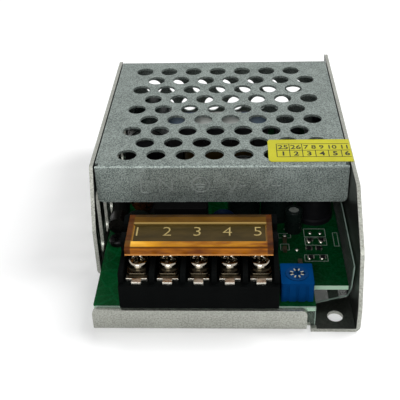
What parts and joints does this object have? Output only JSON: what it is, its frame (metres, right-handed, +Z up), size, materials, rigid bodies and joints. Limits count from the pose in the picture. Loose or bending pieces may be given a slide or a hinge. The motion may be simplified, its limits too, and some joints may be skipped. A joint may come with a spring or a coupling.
{
  "type": "enclosed switching power supply",
  "caption": "Enclosed power supply with a folded metal tray, a perforated cover, a screw terminal block under a hinged flap, a voltage trimmer and its circuit board.",
  "frame": {"origin": "centre of the tray's floor, on the surface that the tray stands on", "axes": "+X to the right seen from the terminals, +Y from the terminals to the rear, +Z up"},
  "size_m": [0.0781, 0.11, 0.0361],
  "materials": {
    "case_aluminium": "satin",
    "cover_metal": "satin",
    "screw_steel": "satin",
    "board_green": "satin",
    "standoff_brass": "satin",
    "clear_film": "gloss",
    "seal_paper": "satin",
    "block_plastic": "satin",
    "contact_metal": "satin",
    "trimmer_blue": "gloss",
    "ferrite": "matte",
    "bobbin_plastic": "matte",
    "yellow_tape": "satin",
    "blue_tape": "satin",
    "grey_label": "matte",
    "can_metal": "satin",
    "sleeve_dark": "gloss",
    "fuse_glass": "gloss",
    "dip_dark": "gloss",
    "box_plastic": "satin",
    "copper_wire": "gloss",
    "moulded_black": "matte",
    "pad_rubber": "matte",
    "clamp_steel": "satin",
    "dip_blue": "gloss",
    "coupler_white": "matte",
    "chip_ceramic": "satin",
    "chip_tan": "satin",
    "resistor_beige": "satin",
    "rotor_white": "satin",
    "amber_plastic": "gloss",
    "washer_steel": "satin"
  },
  "bodies": {
    "base": {"chassis": "case_aluminium", "cover": "cover_metal", "cover_screws": "screw_steel", "pcb": "board_green", "standoffs": "standoff_brass", "board_screws": "screw_steel", "insulating_film": "clear_film", "seal_sticker": "seal_paper", "terminal_block": "block_plastic", "contact_bars": "contact_metal", "trimmer_body": "trimmer_blue", "transformer_core_lower": "ferrite", "transformer_core_upper": "ferrite", "transformer_bobbin": "bobbin_plastic", "transformer_winding": "yellow_tape", "core_tape": "blue_tape", "transformer_label": "grey_label", "bulk_capacitor_can": "can_metal", "bulk_capacitor_sleeve": "sleeve_dark", "output_capacitor_can_1": "can_metal", "output_capacitor_can_2": "can_metal", "output_capacitor_can_3": "can_metal", "output_capacitor_sleeve_1": "sleeve_dark", "output_capacitor_sleeve_2": "sleeve_dark", "output_capacitor_sleeve_3": "sleeve_dark", "auxiliary_capacitor_can": "can_metal", "auxiliary_capacitor_sleeve": "sleeve_dark", "fuse_tube": "fuse_glass", "fuse_caps": "contact_metal", "thermistor": "dip_dark", "filter_capacitor": "box_plastic", "choke_core": "ferrite", "choke_winding_1": "copper_wire", "choke_winding_2": "copper_wire", "bridge_rectifier": "moulded_black", "switch_transistor": "moulded_black", "output_diode": "moulded_black", "insulating_pad": "pad_rubber", "transistor_clamp": "clamp_steel", "clamp_screws": "screw_steel", "output_inductor": "moulded_black", "safety_capacitor": "dip_blue", "optocoupler": "coupler_white", "control_circuit": "moulded_black", "chip_resistors": "chip_ceramic", "chip_capacitors": "chip_tan", "axial_resistors": "resistor_beige"},
    "terminal_flap": {"flip_cover": "amber_plastic"},
    "trimmer_knob": {"trimmer_rotor": "rotor_white"},
    "clamp_1": {"clamp_washer_1": "washer_steel"},
    "screw_1": {"terminal_screw_1": "screw_steel"},
    "clamp_2": {"clamp_washer_2": "washer_steel"},
    "screw_2": {"terminal_screw_2": "screw_steel"},
    "clamp_3": {"clamp_washer_3": "washer_steel"},
    "screw_3": {"terminal_screw_3": "screw_steel"},
    "clamp_4": {"clamp_washer_4": "washer_steel"},
    "screw_4": {"terminal_screw_4": "screw_steel"},
    "clamp_5": {"clamp_washer_5": "washer_steel"},
    "screw_5": {"terminal_screw_5": "screw_steel"}
  },
  "joints": [
    {"name": "flap_hinge", "type": "hinge", "parent": "base", "child": "terminal_flap", "pos_m": [-0.0061, -0.0335, 0.0225], "axis": [-1, 0, 0], "range_deg": [0, 95]},
    {"name": "trimmer_turn", "type": "hinge", "parent": "base", "child": "trimmer_knob", "pos_m": [0.02135, -0.04675, 0.0125], "axis": [0, 0, 1], "range_deg": [-140, 140]},
    {"name": "clamp_1_lift", "type": "slide", "parent": "base", "child": "clamp_1", "axis": [0, 0, 1], "range_m": [0, 0.0018]},
    {"name": "screw_1_turn", "type": "hinge", "parent": "clamp_1", "child": "screw_1", "pos_m": [-0.0233, -0.0462, 0.0185], "axis": [0, 0, 1], "range_deg": [0, 1080.3]},
    {"name": "clamp_2_lift", "type": "slide", "parent": "base", "child": "clamp_2", "axis": [0, 0, 1], "range_m": [0, 0.0018]},
    {"name": "screw_2_turn", "type": "hinge", "parent": "clamp_2", "child": "screw_2", "pos_m": [-0.0147, -0.0462, 0.0185], "axis": [0, 0, 1], "range_deg": [0, 1080.3]},
    {"name": "clamp_3_lift", "type": "slide", "parent": "base", "child": "clamp_3", "axis": [0, 0, 1], "range_m": [0, 0.0018]},
    {"name": "screw_3_turn", "type": "hinge", "parent": "clamp_3", "child": "screw_3", "pos_m": [-0.0061, -0.0462, 0.0185], "axis": [0, 0, 1], "range_deg": [0, 1080.3]},
    {"name": "clamp_4_lift", "type": "slide", "parent": "base", "child": "clamp_4", "axis": [0, 0, 1], "range_m": [0, 0.0018]},
    {"name": "screw_4_turn", "type": "hinge", "parent": "clamp_4", "child": "screw_4", "pos_m": [0.0025, -0.0462, 0.0185], "axis": [0, 0, 1], "range_deg": [0, 1080.3]},
    {"name": "clamp_5_lift", "type": "slide", "parent": "base", "child": "clamp_5", "axis": [0, 0, 1], "range_m": [0, 0.0018]},
    {"name": "screw_5_turn", "type": "hinge", "parent": "clamp_5", "child": "screw_5", "pos_m": [0.0111, -0.0462, 0.0185], "axis": [0, 0, 1], "range_deg": [0, 1080.3]}
  ],
  "couplings": [
    {"joint": "screw_1_turn", "follows": "clamp_1_lift", "rad_per_m": 10472},
    {"joint": "screw_2_turn", "follows": "clamp_2_lift", "rad_per_m": 10472},
    {"joint": "screw_3_turn", "follows": "clamp_3_lift", "rad_per_m": 10472},
    {"joint": "screw_4_turn", "follows": "clamp_4_lift", "rad_per_m": 10472},
    {"joint": "screw_5_turn", "follows": "clamp_5_lift", "rad_per_m": 10472}
  ]
}
